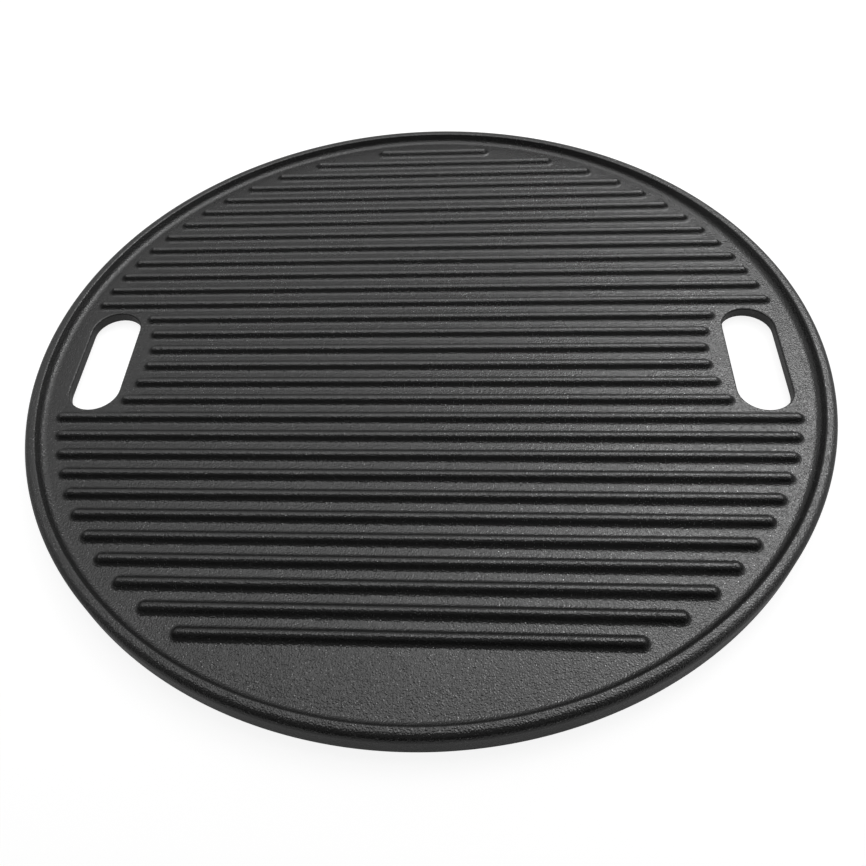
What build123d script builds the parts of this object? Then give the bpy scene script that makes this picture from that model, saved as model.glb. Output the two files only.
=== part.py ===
"""Round cast iron griddle plate, used either side up.

One casting: a thin round web inside a rim that stands proud of both faces.
The upper face carries parallel cooking ribs with rounded crests and ends, and
the lower face is smooth. Two long hand slots go right through the web.

Millimetres. The origin is the middle of the rest face, +Z goes up through the
ribbed face, and the ribs run along X. The bare strip of floor is at -Y.
"""
from build123d import *

import os
from math import cos, radians, sin, sqrt, tan

# Web and rim
plate_diameter = 350.0
web_thickness = 4.9
ribbed_rim_rise = 4.2
smooth_rim_rise = 2.4
rim_crest_width = 4.9
rim_wall_draft = 21.0
rim_inner_round = 0.8
ribbed_rim_outer_round = 3.0
smooth_rim_outer_round = 0.6
ribbed_rim_foot_round = 3.0
smooth_rim_foot_round = 1.5

# Cooking ribs
rib_rows = 32
bare_rows = 2
rib_pitch = 10.15
rib_height = 2.6
rib_crest_round = 2.0
rib_side_draft = 33.0
rib_foot_round = 2.3
rib_to_rim_gap = 6.0

# Hand slots
slot_length = 60.6
slot_width = 22.8
slot_to_rim_gap = 10.7
slot_edge_round = 0.8
rib_to_slot_gap = 1.5

# Clear land round each hand slot, where the ribs stop short along an arc
grip_land_width = 8.6
grip_land_round = 57.6

# Heights
smooth_face_z = smooth_rim_rise
ribbed_floor_z = smooth_face_z + web_thickness
overall_height = ribbed_floor_z + ribbed_rim_rise

# Rim radii
plate_radius = plate_diameter / 2
crest_inner_radius = plate_radius - rim_crest_width
ribbed_foot_radius = crest_inner_radius - ribbed_rim_rise * tan(radians(rim_wall_draft))
smooth_foot_radius = crest_inner_radius - smooth_rim_rise * tan(radians(rim_wall_draft))

# Corners of the rim's section, each with the round that it gets
rim_rounds = [
    ((ribbed_foot_radius, ribbed_floor_z), ribbed_rim_foot_round),
    ((crest_inner_radius, overall_height), rim_inner_round),
    ((plate_radius, overall_height), ribbed_rim_outer_round),
    ((plate_radius, 0), smooth_rim_outer_round),
    ((crest_inner_radius, 0), rim_inner_round),
    ((smooth_foot_radius, smooth_face_z), smooth_rim_foot_round),
]

# Rib section: a round crest, tangent to two straight sides
side_angle = radians(rib_side_draft)
crest_side_width = rib_crest_round * cos(side_angle)
crest_side_height = rib_height - rib_crest_round * (1 - sin(side_angle))
rib_half_width = crest_side_width + crest_side_height * tan(side_angle)

# The foot fillets of neighbouring ribs keep a flat strip of floor between them,
# because each may reach over no more than this share of it
widest_foot_share = 0.4
foot_reach = tan((radians(90) - side_angle) / 2)
widest_foot = widest_foot_share * (rib_pitch - 2 * rib_half_width)
foot_round = min(rib_foot_round, widest_foot / foot_reach)

# Places in the plan
slot_centre_x = ribbed_foot_radius - slot_to_rim_gap - slot_width / 2
rib_tip_radius = ribbed_foot_radius - rib_to_rim_gap
rib_end_radius = rib_tip_radius - rib_half_width
grip_arc_x = slot_centre_x - slot_width / 2 - grip_land_width + grip_land_round
short_rib_limit = slot_length / 2 + rib_half_width + rib_to_slot_gap


def rib_reach(row_y):
    """Distance from the middle of a rib to the centre of its rounded end."""
    if abs(row_y) >= rib_end_radius:
        return 0.0
    reach = sqrt(rib_end_radius**2 - row_y**2)
    if abs(row_y) < min(short_rib_limit, grip_land_round):
        arc_x = grip_arc_x - sqrt(grip_land_round**2 - row_y**2)
        reach = min(reach, arc_x - rib_half_width)
    return reach


# Every row that has a rib, counted from the far edge, as its y and its reach
ribs = []
for row in range(rib_rows - bare_rows):
    row_y = ((rib_rows - 1) / 2 - row) * rib_pitch
    if rib_reach(row_y) > rib_half_width:
        ribs.append((row_y, rib_reach(row_y)))

# Cross-section of a rib, standing on the origin
with BuildSketch() as rib_section:
    with BuildLine():
        left = Line((-rib_half_width, 0), (-crest_side_width, crest_side_height))
        crest = ThreePointArc(left @ 1, (0, rib_height), (crest_side_width, crest_side_height))
        right = Line(crest @ 1, (rib_half_width, 0))
        Line(right @ 1, left @ 0)
    make_face()

# Rounded end of a rib: half the same section, turned about its middle
with BuildPart() as rib_end:
    with BuildSketch(Plane.XZ):
        add(rib_section.sketch)
        split(bisect_by=Plane.YZ, keep=Keep.BOTTOM)
    revolve(axis=Axis.Z)

# All the ribs, standing on the ribbed floor
with BuildPart() as rib_field:
    for row_y, reach in ribs:
        with BuildSketch(Plane.YZ.offset(-reach)):
            with Locations((row_y, ribbed_floor_z)):
                add(rib_section.sketch)
        extrude(amount=2 * reach)
        with Locations((-reach, row_y, ribbed_floor_z), (reach, row_y, ribbed_floor_z)):
            add(rib_end.part)

# The casting
with BuildPart() as griddle_plate:
    # Web and rim, turned from half of their section once its corners are rounded
    with BuildSketch(Plane.XZ):
        with BuildLine():
            Polyline(
                (0, smooth_face_z),
                (smooth_foot_radius, smooth_face_z),
                (crest_inner_radius, 0),
                (plate_radius, 0),
                (plate_radius, overall_height),
                (crest_inner_radius, overall_height),
                (ribbed_foot_radius, ribbed_floor_z),
                (0, ribbed_floor_z),
                close=True,
            )
        make_face()
        for corner, radius in rim_rounds:
            fillet(vertices().sort_by_distance(corner)[0], radius)
    revolve(axis=Axis.Z)

    # Ribs, with a fillet along their feet
    add(rib_field.part)
    rib_feet = edges(Select.LAST).filter_by(Plane.XY).group_by(Axis.Z)[0]
    fillet(rib_feet, foot_round)

    # Hand slots, with softened edges on both faces
    with BuildSketch(Plane.XY.offset(ribbed_floor_z)):
        with Locations((slot_centre_x, 0), (-slot_centre_x, 0)):
            SlotOverall(slot_length, slot_width, rotation=90)
    extrude(amount=-web_thickness, mode=Mode.SUBTRACT)
    slot_rims = faces(Select.LAST).edges().filter_by(Plane.XY)
    fillet(slot_rims, slot_edge_round)

griddle_plate.part.label = "griddle_plate"

os.makedirs("parts", exist_ok=True)
export_step(griddle_plate.part, "parts/griddle_plate.step")
print("ribs", len(ribs), "height", overall_height)
print("volume cm3", round(griddle_plate.part.volume / 1000, 1))
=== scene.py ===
# %% [markdown]
# # A reversible cast iron griddle plate
#
# The real thing is one sand casting, about 35 cm across and just over a centimetre
# thick. A thin round web carries thirty cooking ribs on one face and is smooth on the
# other. A rim stands proud of both faces, so the plate rests on it either way up, and
# two long slots through the web are its hand holds.
#
# The lesson rebuilds it with the same few moves that a pattern maker would use: trace a
# section, turn it or run it along a track, lay copies in rows, and close the faces
# between them. Then come its black cast finish, the floor, the light and the camera.

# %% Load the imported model
from math import ceil, cos, pi, radians, sin, sqrt, tan

import bmesh
import bpy
from mathutils import Matrix, Vector


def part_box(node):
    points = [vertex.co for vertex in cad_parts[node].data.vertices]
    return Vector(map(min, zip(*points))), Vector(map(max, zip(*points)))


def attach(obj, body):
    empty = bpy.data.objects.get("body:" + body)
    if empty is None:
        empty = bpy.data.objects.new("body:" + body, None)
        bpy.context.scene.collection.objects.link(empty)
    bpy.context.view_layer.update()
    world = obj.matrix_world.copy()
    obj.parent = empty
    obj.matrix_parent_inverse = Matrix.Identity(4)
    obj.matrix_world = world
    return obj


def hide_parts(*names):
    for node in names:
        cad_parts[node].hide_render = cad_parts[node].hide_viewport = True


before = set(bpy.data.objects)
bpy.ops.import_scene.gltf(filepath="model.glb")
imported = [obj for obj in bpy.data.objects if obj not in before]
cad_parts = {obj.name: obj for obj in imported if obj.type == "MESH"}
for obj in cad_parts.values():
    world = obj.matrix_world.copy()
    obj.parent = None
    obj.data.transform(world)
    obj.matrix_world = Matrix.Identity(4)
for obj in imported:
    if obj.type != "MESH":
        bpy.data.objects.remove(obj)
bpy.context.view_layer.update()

cad_low, cad_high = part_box("griddle_plate")
print("frame nodes", sorted(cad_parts))

# %% [markdown]
# ## Sizes
#
# All sizes are metres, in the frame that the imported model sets: the origin is the middle
# of the rest face, +Z goes up through the ribbed face, the ribs run along X, and the
# bare strip of floor is at -Y. The plate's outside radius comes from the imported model's
# own box, so that the modelled plate can never grow past it.

# %% Sizes of the web and the rim
MM = 0.001
same_place = 0.001 * MM
plate_radius = min(cad_high.x, cad_high.y, -cad_low.x, -cad_low.y) - same_place
web_thickness = 4.9 * MM
ribbed_rim_rise = 4.2 * MM
smooth_rim_rise = 2.4 * MM
rim_crest_width = 4.9 * MM
rim_wall_draft = radians(21)
rim_inner_round = 0.8 * MM
ribbed_rim_outer_round = 3.0 * MM
smooth_rim_outer_round = 0.6 * MM
ribbed_rim_foot_round = 3.0 * MM
smooth_rim_foot_round = 1.5 * MM

smooth_face_z = smooth_rim_rise
ribbed_floor_z = smooth_face_z + web_thickness
overall_height = ribbed_floor_z + ribbed_rim_rise
crest_inner_radius = plate_radius - rim_crest_width
ribbed_foot_radius = crest_inner_radius - ribbed_rim_rise * tan(rim_wall_draft)
smooth_foot_radius = crest_inner_radius - smooth_rim_rise * tan(rim_wall_draft)
print("radius mm", round(plate_radius / MM, 2), "height mm", round(overall_height / MM, 2))

# %% Sizes of the cooking ribs
rib_rows = 32
bare_rows = 2
rib_pitch = 10.15 * MM
rib_height = 2.6 * MM
rib_crest_round = 2.0 * MM
rib_side_draft = radians(33)
rib_foot_round = 2.3 * MM
rib_to_rim_gap = 6.0 * MM

crest_side_width = rib_crest_round * cos(rib_side_draft)
crest_side_height = rib_height - rib_crest_round * (1 - sin(rib_side_draft))
rib_half_width = crest_side_width + crest_side_height * tan(rib_side_draft)
rib_foot_reach = rib_foot_round * tan((pi / 2 - rib_side_draft) / 2)
rib_end_radius = ribbed_foot_radius - rib_to_rim_gap - rib_half_width
print("rib width at the floor mm", round(2 * rib_half_width / MM, 2))

# %% Sizes of the hand slots and of the clear land round them
slot_length = 60.6 * MM
slot_width = 22.8 * MM
slot_to_rim_gap = 10.7 * MM
slot_edge_round = 0.8 * MM
rib_to_slot_gap = 1.5 * MM
grip_land_width = 8.6 * MM
grip_land_round = 57.6 * MM

slot_centre_x = ribbed_foot_radius - slot_to_rim_gap - slot_width / 2
grip_arc_x = slot_centre_x - slot_width / 2 - grip_land_width + grip_land_round
short_rib_limit = slot_length / 2 + rib_half_width + rib_to_slot_gap
print("slot centres at x mm", round(slot_centre_x / MM, 2), "and its mirror")

# %% [markdown]
# ## Tracing a section
#
# Every form on this plate has one section, carried round a circle or along a track. A
# section could be drawn sharp and bevelled, but a bevel makes a true arc only where its
# sides meet at a right angle. So it is traced the way it would be scribed on a template:
# extrude the last point straight to where the next round starts, then spin it about that
# round's centre. Spin turns clockwise about its axis, hence the minus sign.

# %% Trace a section by extrude and spin
arc_step = radians(11)

def start_point(name, place):
    """A new mesh of one vertex, left in edit mode with that vertex selected."""
    bpy.ops.object.select_all(action="DESELECT")
    bpy.ops.mesh.primitive_plane_add(size=MM, location=place)
    piece = bpy.context.object
    piece.name = name
    bpy.ops.object.transform_apply(location=True)
    bpy.ops.object.mode_set(mode="EDIT")
    bpy.ops.mesh.merge(type="CENTER")
    return piece

def extrude_by(step):
    """Extrudes what is selected, unless the step is too short to matter."""
    if step.length > same_place:
        bpy.ops.mesh.extrude_region_move(TRANSFORM_OT_translate={"value": step})

def trace_section(name, corners, rounds):
    """Draws the line through these corners, with a true arc at every inner corner."""
    piece = start_point(name, corners[0])
    pen = corners[0]
    for before, corner, after, radius in zip(corners, corners[1:], corners[2:], rounds):
        arriving = (corner - before).normalized()
        leaving = (after - corner).normalized()
        turn = arriving.angle(leaving)
        axis = arriving.cross(leaving).normalized()
        tangent = radius * tan(turn / 2)
        arc_start = corner - arriving * tangent
        centre = arc_start + axis.cross(arriving) * radius
        extrude_by(arc_start - pen)
        bpy.ops.mesh.spin(steps=ceil(turn / arc_step), angle=-turn, center=centre, axis=axis)
        pen = corner + leaving * tangent
    extrude_by(corners[-1] - pen)
    bpy.ops.mesh.select_all(action="SELECT")
    return piece

def close_up(piece):
    """Merges the points that meet, turns the faces outwards and leaves edit mode."""
    bpy.ops.mesh.select_all(action="SELECT")
    bpy.ops.mesh.remove_doubles(threshold=same_place)
    bpy.ops.mesh.normals_make_consistent(inside=False)
    bpy.ops.object.mode_set(mode="OBJECT")
    print(piece.name, "faces", len(piece.data.polygons))

# %% [markdown]
# ## The rim
#
# The rim stands proud of both faces. On the ribbed side its crest is a narrow flat land
# that falls away outside in a generous round, while its inner edge is tight. From there a
# drafted wall runs down to the floor and ends in a cove. The smooth side repeats it, lower
# and with a nearly sharp outer edge. One closed outline of corners, turned once about the
# middle, makes all of it with no seam.

# %% Turn the rim
rim_turn_steps = 360
rim_margin = 2.5 * MM

rim_corners = [
    Vector((ribbed_foot_radius - rim_margin, 0, ribbed_floor_z)),
    Vector((ribbed_foot_radius, 0, ribbed_floor_z)),
    Vector((crest_inner_radius, 0, overall_height)),
    Vector((plate_radius, 0, overall_height)),
    Vector((plate_radius, 0, 0)),
    Vector((crest_inner_radius, 0, 0)),
    Vector((smooth_foot_radius, 0, smooth_face_z)),
    Vector((smooth_foot_radius - rim_margin, 0, smooth_face_z)),
]
rim_rounds = [
    ribbed_rim_foot_round,
    rim_inner_round,
    ribbed_rim_outer_round,
    smooth_rim_outer_round,
    rim_inner_round,
    smooth_rim_foot_round,
]
plate = trace_section("plate", rim_corners, rim_rounds)
bpy.ops.mesh.spin(steps=rim_turn_steps, angle=2 * pi, center=(0, 0, 0), axis=(0, 0, 1))
close_up(plate)

# %% [markdown]
# ## A cooking rib
#
# A rib is a low bar with a round crest, drafted sides so that it leaves the sand, and a
# cove at its foot. Its ends are half of the same section, turned. So half of the section
# is run round a track: along one side, round the end, back along the other side and
# round again. The hand slots have the same kind of outline, so the same move makes
# their walls.

# %% Run a section round a long track
track_end_steps = 18

def run_round_track(centre, run, side):
    """Sweeps the selected section round a track whose straights are 2 x run long.

    The section stands on the track's side, at the start of the first straight.
    """
    turning = side.cross(run).normalized()
    for straight in (run, -run):
        extrude_by(2 * straight)
        bpy.ops.mesh.spin(
            steps=track_end_steps, angle=-pi, center=centre + straight, axis=turning
        )

# %% One rib, as a pattern for the rest
pattern_run = Vector((10 * MM, 0, 0))
rib_corners = [
    Vector((0, 0, rib_height)),
    Vector((0, rib_half_width - rib_height * tan(rib_side_draft), rib_height)),
    Vector((0, rib_half_width, 0)),
    Vector((0, rib_half_width + rib_foot_reach, 0)),
]
rib_corners = [corner - pattern_run for corner in rib_corners]
rib_pattern = trace_section("rib_pattern", rib_corners, [rib_crest_round, rib_foot_round])
run_round_track(Vector((0, 0, 0)), pattern_run, Vector((0, 1, 0)))
close_up(rib_pattern)

# %% [markdown]
# ## The field of ribs
#
# Thirty rows share one pitch. Each rib stops short of the rim by the same gap, so its
# length follows the circle. Beside the hand slots the ribs stop along an arc instead,
# which leaves a clear land for the fingers. An array modifier would repeat one length,
# so each row is a copy of the pattern with its two ends slid out to their places.

# %% How far each rib reaches
def rib_reach(row_y):
    """Distance from the middle of a rib to the centre of its rounded end."""
    reach = sqrt(rib_end_radius**2 - row_y**2)
    if abs(row_y) < short_rib_limit:
        arc_x = grip_arc_x - sqrt(grip_land_round**2 - row_y**2)
        reach = min(reach, arc_x - rib_half_width)
    return reach

row_places = [((rib_rows - 1) / 2 - row) * rib_pitch for row in range(rib_rows - bare_rows)]
longest_straight = 2 * max(map(rib_reach, row_places))
print("ribs", len(row_places), "longest straight mm", round(longest_straight / MM, 1))

# %% Select by place, and lay the ribs
def pick(piece, kind, test):
    """In edit mode, selects only the verts, edges or faces that pass the test."""
    bpy.ops.mesh.select_all(action="DESELECT")
    mesh = bmesh.from_edit_mesh(piece.data)
    for element in getattr(mesh, kind):
        if test(element):
            element.select_set(True)
    bmesh.update_edit_mesh(piece.data)

def copy_of(pattern, name):
    """A copy with its own mesh, alone in the selection."""
    piece = pattern.copy()
    piece.data = pattern.data.copy()
    piece.name = name
    bpy.context.collection.objects.link(piece)
    bpy.ops.object.select_all(action="DESELECT")
    piece.select_set(True)
    bpy.context.view_layer.objects.active = piece
    return piece

ribs = []
for row, row_y in enumerate(row_places):
    rib = copy_of(rib_pattern, f"rib_{row + 1:02d}")
    slide = rib_reach(row_y) - pattern_run.x
    bpy.ops.object.mode_set(mode="EDIT")
    pick(rib, "verts", lambda vert: vert.co.x > 0)
    bpy.ops.transform.translate(value=(slide, row_y, ribbed_floor_z))
    pick(rib, "verts", lambda vert: vert.co.x < 0)
    bpy.ops.transform.translate(value=(-slide, row_y, ribbed_floor_z))
    bpy.ops.object.mode_set(mode="OBJECT")
    ribs.append(rib)
bpy.data.objects.remove(rib_pattern)
print("ribs laid", len(ribs))

# %% [markdown]
# ## The hand slots
#
# Each slot is cored straight through the web, and both of its edges are eased so that
# they don't bite the fingers. Cutting it with a Boolean would leave long thin triangles
# round the hole, where reflections kink. Instead its wall is swept like a rib, and the
# faces that are closed later simply leave the hole open.

# %% The slot walls
slot_run = Vector((0, slot_length / 2 - slot_width / 2, 0))
slot_side = Vector((slot_width / 2, 0, 0))
slot_corners = [
    slot_side + Vector((slot_edge_round, 0, ribbed_floor_z)),
    slot_side + Vector((0, 0, ribbed_floor_z)),
    slot_side + Vector((0, 0, smooth_face_z)),
    slot_side + Vector((slot_edge_round, 0, smooth_face_z)),
]
slot_corners = [corner - slot_run for corner in slot_corners]
slot_pattern = trace_section("slot_pattern", slot_corners, [slot_edge_round, slot_edge_round])
run_round_track(Vector((0, 0, 0)), slot_run, Vector((1, 0, 0)))
close_up(slot_pattern)

slots = []
for name, centre_x in (("left_slot", -slot_centre_x), ("right_slot", slot_centre_x)):
    slot = copy_of(slot_pattern, name)
    bpy.ops.object.mode_set(mode="EDIT")
    bpy.ops.mesh.select_all(action="SELECT")
    bpy.ops.transform.translate(value=(centre_x, 0, 0))
    bpy.ops.object.mode_set(mode="OBJECT")
    slots.append(slot)
bpy.data.objects.remove(slot_pattern)
print("slot walls", len(slots))

# %% [markdown]
# ## Closing the faces
#
# Rim, ribs and slot walls now float apart, and each ends in open edges that lie exactly
# on the ribbed floor or on the smooth face. Joined into one mesh, Fill spans each level
# with triangles from edge to edge, so the floor meets every cove along the same points.
# The result must be one closed skin, and its volume says whether the casting is right.

# %% Join, fill both levels and close the skin
bpy.ops.object.select_all(action="DESELECT")
for part in [*ribs, *slots, plate]:
    part.select_set(True)
bpy.context.view_layer.objects.active = plate
bpy.ops.object.join()
bpy.ops.object.mode_set(mode="EDIT")
bpy.ops.mesh.select_mode(type="EDGE")

def open_at(level):
    """A test for open edges that lie at this height."""
    def test(edge):
        return edge.is_boundary and all(abs(v.co.z - level) < same_place for v in edge.verts)
    return test

for level in (ribbed_floor_z, smooth_face_z):
    pick(plate, "edges", open_at(level))
    bpy.ops.mesh.fill(use_beauty=True)
close_up(plate)

skin = bmesh.new()
skin.from_mesh(plate.data)
open_edges = sum(not edge.is_manifold for edge in skin.edges)
print("open edges", open_edges, "volume cm3", round(skin.calc_volume() * 1e6, 1))
skin.free()

# %% [markdown]
# ## Smooth shading that keeps the flats flat
#
# Smooth shading averages the faces round each point. Here a wide floor triangle may meet
# a narrow cove, and a plain average would tilt the floor's edge and smear its sheen. The
# Weighted Normal modifier lets the larger face decide, which is also how the iron looks.

# %% Shade the skin
bpy.ops.object.select_all(action="DESELECT")
plate.select_set(True)
bpy.context.view_layer.objects.active = plate
bpy.ops.object.shade_smooth()
bpy.ops.object.modifier_add(type="WEIGHTED_NORMAL")
bpy.ops.object.modifier_apply(modifier=plate.modifiers[0].name)

plate.name = "ribbed_plate"
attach(plate, "root")
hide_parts("griddle_plate")
plate.data.calc_loop_triangles()
print("triangles", len(plate.data.loop_triangles))

# %% [markdown]
# ## The black cast finish
#
# Seasoned cast iron is almost black, with the pebbly skin of the sand that it was poured
# in and a thin film of baked oil that gives it a soft sheen. The skin is far finer than
# any mesh, so it is a bump. Two grains are laid over each other: rounded sand pebbles
# from a Voronoi pattern and a smooth noise of about the same size. A noise with finer
# octaves would scatter each reflection and turn the black sides of the ribs grey. Here
# and there a pebble's tip is worn to bare metal, which is a glint. Each effect is a node
# group with named sockets, so that its strength can be set where it is used.

# %% Helpers for node trees
def new_group(name, inputs, outputs):
    """An empty shader node group with these named sockets, and its two end nodes."""
    tree = bpy.data.node_groups.new(name, "ShaderNodeTree")
    for socket, kind in inputs:
        tree.interface.new_socket(socket, in_out="INPUT", socket_type=kind)
    for socket, kind in outputs:
        tree.interface.new_socket(socket, in_out="OUTPUT", socket_type=kind)
    return tree, tree.nodes.new("NodeGroupInput"), tree.nodes.new("NodeGroupOutput")

def add_node(tree, kind, values=None, **settings):
    """A new node, with its settings and the values of its unlinked sockets."""
    node = tree.nodes.new(kind)
    for name, value in settings.items():
        setattr(node, name, value)
    for socket, value in (values or {}).items():
        node.inputs[socket].default_value = value
    return node

def calculate(tree, operation, first, second):
    """A Math node. Each operand is a number or another node's output."""
    node = add_node(tree, "ShaderNodeMath", operation=operation)
    for socket, value in zip(node.inputs, (first, second)):
        if isinstance(value, bpy.types.NodeSocket):
            tree.links.new(value, socket)
        else:
            socket.default_value = value
    return node.outputs[0]

def remap(tree, value, from_low, from_high, to_low, to_high):
    """A Map Range node with smooth ends."""
    limits = {"From Min": from_low, "From Max": from_high, "To Min": to_low, "To Max": to_high}
    node = add_node(tree, "ShaderNodeMapRange", limits, interpolation_type="SMOOTHSTEP")
    tree.links.new(value, node.inputs["Value"])
    return node.outputs["Result"]

# %% The sand skin
skin_tree, skin_in, skin_out = new_group(
    "sand_skin",
    [("Place", "NodeSocketVector"), ("Pebbles per Metre", "NodeSocketFloat")],
    [("Height", "NodeSocketFloat"), ("Glints", "NodeSocketFloat")],
)
pebbles = add_node(skin_tree, "ShaderNodeTexVoronoi", feature="SMOOTH_F1")
soft_grain = add_node(skin_tree, "ShaderNodeTexNoise", {"Detail": 0.0})
for texture in (pebbles, soft_grain):
    skin_tree.links.new(skin_in.outputs["Place"], texture.inputs["Vector"])
skin_tree.links.new(skin_in.outputs["Pebbles per Metre"], pebbles.inputs["Scale"])
skin_tree.links.new(skin_in.outputs["Pebbles per Metre"], soft_grain.inputs["Scale"])
pebble_dome = calculate(skin_tree, "SUBTRACT", 1.0, pebbles.outputs["Distance"])
skin_height = calculate(skin_tree, "ADD", pebble_dome, soft_grain.outputs["Fac"])
skin_tree.links.new(skin_height, skin_out.inputs["Height"])

glint_cells_per_metre = 1200.0
least_red_of_glints = 0.7
glint_core, glint_edge = 0.1, 0.35
glint_cells = add_node(skin_tree, "ShaderNodeTexVoronoi", {"Scale": glint_cells_per_metre})
skin_tree.links.new(skin_in.outputs["Place"], glint_cells.inputs["Vector"])
glint_choice = add_node(skin_tree, "ShaderNodeSeparateColor")
skin_tree.links.new(glint_cells.outputs["Color"], glint_choice.inputs["Color"])
rare = calculate(
    skin_tree, "GREATER_THAN", glint_choice.outputs["Red"], least_red_of_glints
)
small = remap(skin_tree, glint_cells.outputs["Distance"], glint_core, glint_edge, 1.0, 0.0)
skin_tree.links.new(calculate(skin_tree, "MULTIPLY", rare, small), skin_out.inputs["Glints"])
print("group", skin_tree.name, [item.name for item in skin_tree.interface.items_tree])

# %% [markdown]
# ## Rubbed crests
#
# Food, scrapers and the grate under the plate polish what stands highest: the crests of
# the ribs and the lands of the rim. On a plate of one thickness, height alone says what
# is rubbed, so the mask reads the height and is broken up by a coarse noise.

# %% The rubbed crests
rub_tree, rub_in, rub_out = new_group(
    "rubbed_crests", [("Place", "NodeSocketVector")], [("Rub", "NodeSocketFloat")]
)
axes = add_node(rub_tree, "ShaderNodeSeparateXYZ")
rub_tree.links.new(rub_in.outputs["Place"], axes.inputs["Vector"])
rib_top_z = ribbed_floor_z + rib_height
rub_down_from_rib_top = 0.5 * MM
rub_up_from_rest = 0.4 * MM
rub_start_z = rib_top_z - rub_down_from_rib_top
on_top = remap(rub_tree, axes.outputs["Z"], rub_start_z, rib_top_z, 0.0, 1.0)
on_rest = remap(rub_tree, axes.outputs["Z"], 0.0, rub_up_from_rest, 1.0, 0.0)

patches_per_metre, patch_detail = 120.0, 4.0
patch_low, patch_high = 0.35, 0.65
least_rub = 0.35
patchy_values = {"Scale": patches_per_metre, "Detail": patch_detail}
patchy = add_node(rub_tree, "ShaderNodeTexNoise", patchy_values)
rub_tree.links.new(rub_in.outputs["Place"], patchy.inputs["Vector"])
patches = remap(rub_tree, patchy.outputs["Fac"], patch_low, patch_high, least_rub, 1.0)
highest = calculate(rub_tree, "MAXIMUM", on_top, on_rest)
rub_tree.links.new(calculate(rub_tree, "MULTIPLY", highest, patches), rub_out.inputs["Rub"])
print("rubbed above z mm", round(rub_start_z / MM, 2))

# %% [markdown]
# ## The oil film
#
# The oil never bakes on evenly. Broad clouds a few centimetres across are a little
# glossier or greyer than their surroundings, and they keep the black from looking like
# one flat colour.

# %% The oil film
film_tree, film_in, film_out = new_group(
    "oil_film", [("Place", "NodeSocketVector")], [("Film", "NodeSocketFloat")]
)
clouds_per_metre, cloud_detail = 26.0, 5.0
cloud_low, cloud_high = 0.3, 0.7
cloud_values = {"Scale": clouds_per_metre, "Detail": cloud_detail}
clouds = add_node(film_tree, "ShaderNodeTexNoise", cloud_values)
film_tree.links.new(film_in.outputs["Place"], clouds.inputs["Vector"])
film = remap(film_tree, clouds.outputs["Fac"], cloud_low, cloud_high, 0.0, 1.0)
film_tree.links.new(film, film_out.inputs["Film"])
print("clouds per metre", clouds_per_metre)

# %% [markdown]
# ## The iron
#
# Baked oil over black oxide mirrors more than plastic does, so its index of refraction is
# higher. A glint is bare metal: it mirrors by its own colour, and so it only lights up
# where the plate faces something bright.

# %% The iron
iron = bpy.data.materials.new("black_cast_iron")
iron.use_nodes = True
tree = iron.node_tree
shader = tree.nodes["Principled BSDF"]
place = add_node(tree, "ShaderNodeTexCoord").outputs["Object"]

def use_group(group):
    """Places a group in the iron and feeds it the object's own coordinates."""
    node = add_node(tree, "ShaderNodeGroup", node_tree=group)
    tree.links.new(place, node.inputs["Place"])
    return node

skin_node = use_group(skin_tree)
pebbles_per_metre = 1700.0
skin_node.inputs["Pebbles per Metre"].default_value = pebbles_per_metre
rub_node = use_group(rub_tree)
film_node = use_group(film_tree)

def mix_colours(share, low, high):
    """Mixes two colours by a mask. Mix has an A and a B for every kind of value."""
    node = add_node(tree, "ShaderNodeMix", data_type="RGBA")
    tree.links.new(share, node.inputs["Factor"])
    for name, value in (("A", low), ("B", high)):
        socket = next(s for s in node.inputs if s.name == name and s.type == "RGBA")
        if isinstance(value, bpy.types.NodeSocket):
            tree.links.new(value, socket)
        else:
            socket.default_value = (*value, 1.0)
    return next(s for s in node.outputs if s.type == "RGBA")

black_iron = (0.007, 0.007, 0.007)
grey_iron = (0.016, 0.016, 0.016)
bare_iron = (0.24, 0.24, 0.24)
most_cloud = 0.5
cloudy_share = calculate(tree, "MULTIPLY", film_node.outputs["Film"], most_cloud)
grey_share = calculate(tree, "MAXIMUM", rub_node.outputs["Rub"], cloudy_share)
seasoned = mix_colours(grey_share, black_iron, grey_iron)
sparkling = mix_colours(skin_node.outputs["Glints"], seasoned, bare_iron)
tree.links.new(sparkling, shader.inputs["Base Color"])
tree.links.new(skin_node.outputs["Glints"], shader.inputs["Metallic"])

dull_roughness, glossy_roughness = 0.30, 0.25
smoother_by_glint = 0.15
film_roughness = remap(
    tree, film_node.outputs["Film"], 0.0, 1.0, dull_roughness, glossy_roughness
)
glint_gloss = calculate(tree, "MULTIPLY", skin_node.outputs["Glints"], smoother_by_glint)
roughness = calculate(tree, "SUBTRACT", film_roughness, glint_gloss)
tree.links.new(roughness, shader.inputs["Roughness"])

grain_height = 0.13 * MM
grain_bump = add_node(tree, "ShaderNodeBump", {"Strength": 1.0, "Distance": grain_height})
tree.links.new(skin_node.outputs["Height"], grain_bump.inputs["Height"])
tree.links.new(grain_bump.outputs["Normal"], shader.inputs["Normal"])

oiled_iron_ior = 1.8
shader.inputs["IOR"].default_value = oiled_iron_ior

plate.data.materials.clear()
plate.data.materials.append(iron)
print("material", iron.name, "nodes", len(tree.nodes))

# %% [markdown]
# ## The floor
#
# The plate stands on a plain pale sheet. For the light that it sends back to the iron the
# sheet is a light grey. The camera sees some plain white added to that grey, which turns
# the sheet white and keeps the plate's soft shadow, and glossy rays see a little of it.

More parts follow.
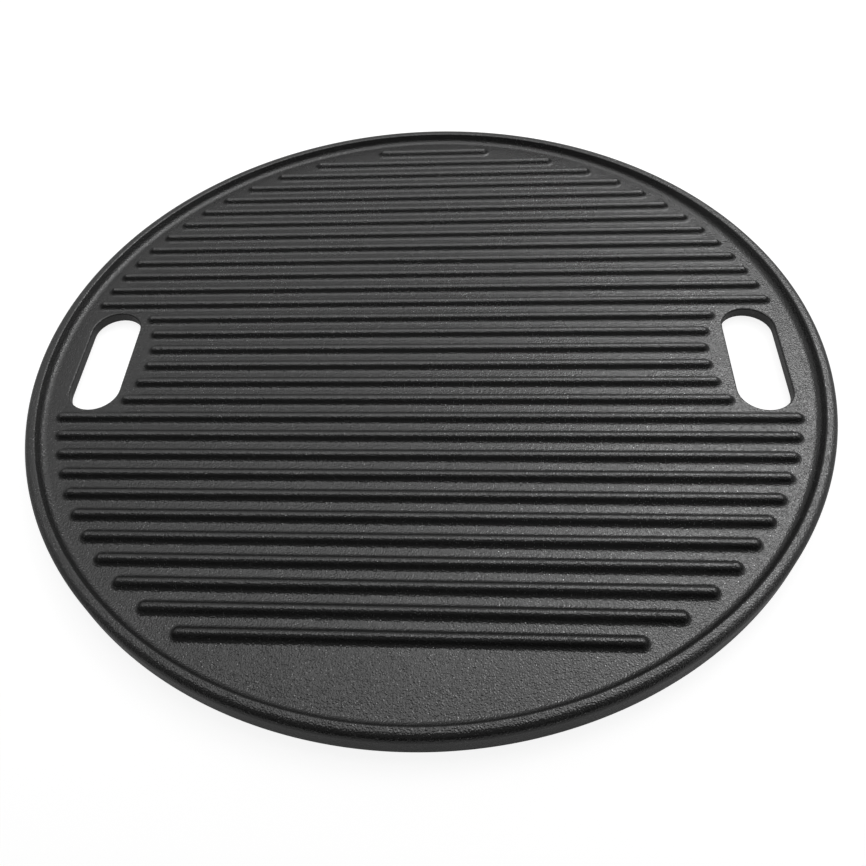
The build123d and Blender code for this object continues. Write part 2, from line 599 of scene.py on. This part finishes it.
# %% Lay the floor
floor_width = 6.0
bpy.ops.object.select_all(action="DESELECT")
bpy.ops.mesh.primitive_plane_add(size=floor_width, location=(0, 0, 0))
floor = bpy.context.object
floor.name = "floor"
sheet = bpy.data.materials.new("pale_sheet")
sheet.use_nodes = True
sheet_tree = sheet.node_tree
sheet_tree.nodes.clear()
sheet_grey = (0.3, 0.3, 0.3, 1.0)
white_for_camera, white_for_gloss = 0.88, 0.15
paper = add_node(sheet_tree, "ShaderNodeBsdfDiffuse", {"Color": sheet_grey})
rays = add_node(sheet_tree, "ShaderNodeLightPath")
seen_white = calculate(
    sheet_tree,
    "ADD",
    calculate(sheet_tree, "MULTIPLY", rays.outputs["Is Camera Ray"], white_for_camera),
    calculate(sheet_tree, "MULTIPLY", rays.outputs["Is Glossy Ray"], white_for_gloss),
)
white = add_node(sheet_tree, "ShaderNodeEmission")
seen = add_node(sheet_tree, "ShaderNodeAddShader")
sheet_out = add_node(sheet_tree, "ShaderNodeOutputMaterial")
sheet_tree.links.new(seen_white, white.inputs["Strength"])
sheet_tree.links.new(paper.outputs["BSDF"], seen.inputs[0])
sheet_tree.links.new(white.outputs["Emission"], seen.inputs[1])
sheet_tree.links.new(seen.outputs["Shader"], sheet_out.inputs["Surface"])
floor.data.materials.append(sheet)
print("floor laid at z", floor.location.z)

# %% [markdown]
# ## The light
#
# Black iron shows hardly any colour of its own. What draws its ribs is what it mirrors. A
# white tent is brightest overhead, a little to the right, and fades towards the camera.
# Low behind the plate it becomes a pale backdrop, and low behind the camera a dark room,
# which turns the near sides of the ribs black. Tent, backdrop and room are far away, so
# one world makes all three out of the direction of each ray. One soft box behind the
# right edge brightens that side.

# %% The tent, the backdrop and the dark room
world = bpy.data.worlds.new("studio")
bpy.context.scene.world = world
world.use_nodes = True
room = world.node_tree
room.nodes.clear()
direction = add_node(room, "ShaderNodeTexCoord").outputs["Generated"]
heading = add_node(room, "ShaderNodeSeparateXYZ")
room.links.new(direction, heading.inputs["Vector"])
white_tent = 1.4
tent_top = Vector((0.14, 0.0, 0.99)).normalized()
tent_skirt, tent_crown = 0.52, 0.92
tent_front, tent_back, front_share = -0.9, 0.3, 0.4
room_front, room_back = -0.9, 0.8
dark_room, pale_backdrop = 0.03, 0.38
near_top = add_node(room, "ShaderNodeVectorMath", operation="DOT_PRODUCT")
room.links.new(direction, near_top.inputs[0])
near_top.inputs[1].default_value = tent_top
high = remap(room, near_top.outputs["Value"], tent_skirt, tent_crown, 0.0, white_tent)
behind = remap(room, heading.outputs["Y"], tent_front, tent_back, front_share, 1.0)
low = remap(room, heading.outputs["Y"], room_front, room_back, dark_room, pale_backdrop)
level = calculate(room, "MAXIMUM", calculate(room, "MULTIPLY", high, behind), low)
room_rays = add_node(room, "ShaderNodeLightPath")
shown_level = calculate(room, "MAXIMUM", level, room_rays.outputs["Is Camera Ray"])
plain_white = (1.0, 1.0, 1.0, 1.0)
light = add_node(room, "ShaderNodeBackground", {"Color": plain_white})
room.links.new(shown_level, light.inputs["Strength"])
room_out = add_node(room, "ShaderNodeOutputWorld")
room.links.new(light.outputs["Background"], room_out.inputs["Surface"])
print("tent top", white_tent, "backdrop", pale_backdrop, "behind the camera", dark_room)

# %% The soft box
def hang_soft_box(name, azimuth, elevation, distance, size, radiance):
    """An area lamp facing the plate. Azimuth turns from the back, +Y, towards +X."""
    lamp = bpy.data.lights.new(name, "AREA")
    lamp.shape = "RECTANGLE"
    lamp.size, lamp.size_y = size
    lamp.energy = radiance * pi * lamp.size * lamp.size_y
    box = bpy.data.objects.new(name, lamp)
    bpy.context.collection.objects.link(box)
    level_part = cos(elevation)
    towards = Vector((sin(azimuth) * level_part, cos(azimuth) * level_part, sin(elevation)))
    box.location = towards * distance
    box.rotation_euler = towards.to_track_quat("Z", "Y").to_euler()
    return box

box_azimuth, box_elevation, box_distance = radians(37), radians(47), 1.3
box_size, box_radiance = (0.6, 0.42), 3.5
hang_soft_box("soft_box", box_azimuth, box_elevation, box_distance, box_size, box_radiance)

# %% [markdown]
# ## The board over the camera
#
# Whoever takes such a picture leans over the plate, and the near ribs mirror them. A dark
# board close above the camera stands in for them. Because it is near, it widens the black
# sides of the near ribs more than those of the far ones, which no distant light can do.
# It is hidden from every camera and glows as faintly as a dark coat in a white room.

# %% Hang the board
board_height = 0.33
board_edge, board_back, board_width = -0.105, -0.7, 0.8
board_level = 0.10

bpy.ops.object.select_all(action="DESELECT")
bpy.ops.mesh.primitive_plane_add(size=1.0)
board = bpy.context.object
board.name = "dark_board"
board.location = (0, (board_edge + board_back) / 2, board_height)
board.scale = (board_width, board_edge - board_back, 1.0)
coat = bpy.data.materials.new("dark_coat")
coat.use_nodes = True
coat_tree = coat.node_tree
coat_tree.nodes.clear()
coat_glow = add_node(coat_tree, "ShaderNodeEmission", {"Strength": board_level})
coat_out = add_node(coat_tree, "ShaderNodeOutputMaterial")
coat_tree.links.new(coat_glow.outputs["Emission"], coat_out.inputs["Surface"])
board.data.materials.append(coat)
board.visible_camera = False
print("board edge at y", board_edge, "height", board_height)

# %% [markdown]
# ## The camera
#
# The camera looks down steeply from the plate's near side, a little from its right, and
# is rolled a few degrees. Its place, angles and lens were solved from the rim and the
# ribs. The picture is a crop of a wider frame, so the lens axis is off its centre.

# %% Place the camera
camera_place = Vector((0.02322, -0.26238, 0.27596))
camera_azimuth = radians(7.336)
camera_elevation = radians(54.27)
camera_roll = radians(5.533)

lens = bpy.data.cameras.new("camera")
lens.sensor_width = 36.0
lens.lens = 34.405
lens.shift_x = 0.0259
lens.shift_y = 0.0610
lens.clip_start = 0.01
camera = bpy.data.objects.new("camera", lens)
bpy.context.collection.objects.link(camera)
camera.matrix_world = (
    Matrix.Translation(camera_place)
    @ Matrix.Rotation(camera_azimuth, 4, "Z")
    @ Matrix.Rotation(pi / 2 - camera_elevation, 4, "X")
    @ Matrix.Rotation(-camera_roll, 4, "Z")
)
bpy.context.scene.camera = camera
bpy.context.scene.view_settings.view_transform = "Standard"
print("camera mm", [round(c / MM) for c in camera.location])
